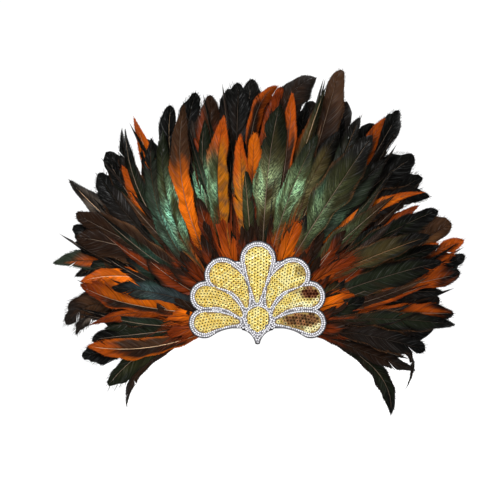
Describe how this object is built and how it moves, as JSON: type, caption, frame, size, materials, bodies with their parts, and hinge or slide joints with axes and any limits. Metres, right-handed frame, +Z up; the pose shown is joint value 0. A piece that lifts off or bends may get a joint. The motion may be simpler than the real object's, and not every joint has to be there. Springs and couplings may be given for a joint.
{
  "type": "feather headband",
  "caption": "Feather headband: a fan of dyed rooster feathers in overlapping rows behind a beaded, sequinned petal applique, on a plain loop that goes round the head.",
  "frame": {"origin": "middle of the head opening, level with the lower edge of the headband", "axes": "+X across to the right as seen from the front, +Y towards the back of the head, +Z up"},
  "size_m": [0.551, 0.1995, 0.461],
  "materials": {
    "band": "matte",
    "felt": "matte",
    "beads": "gloss",
    "sequins": "gloss",
    "feather_dark": "satin",
    "feather_brown": "satin",
    "feather_green": "satin",
    "feather_orange": "satin"
  },
  "bodies": {
    "root": {"headband": "band", "felt_backing": "felt", "bead_border": "beads", "sequin_petal_top": "sequins", "sequin_petal_upper_left": "sequins", "sequin_petal_upper_right": "sequins", "sequin_petal_middle_left": "sequins", "sequin_petal_middle_right": "sequins", "sequin_petal_lower_left": "sequins", "sequin_petal_lower_right": "sequins", "sequin_drop": "sequins", "feather_row_1_left": "feather_dark", "feather_row_1_top": "feather_dark", "feather_row_1_right": "feather_dark", "feather_row_2_left": "feather_brown", "feather_row_2_top": "feather_brown", "feather_row_2_right": "feather_brown", "feather_row_3_left": "feather_dark", "feather_row_3_top": "feather_dark", "feather_row_3_right": "feather_dark", "feather_row_4_left": "feather_green", "feather_row_4_top": "feather_green", "feather_row_4_right": "feather_green", "feather_row_5_left": "feather_orange", "feather_row_5_top": "feather_orange", "feather_row_5_right": "feather_orange", "feather_row_6_left": "feather_green", "feather_row_6_top": "feather_green", "feather_row_6_right": "feather_green", "feather_tufts_left": "feather_orange", "feather_tufts_top": "feather_orange", "feather_tufts_right": "feather_orange"}
  },
  "joints": []
}
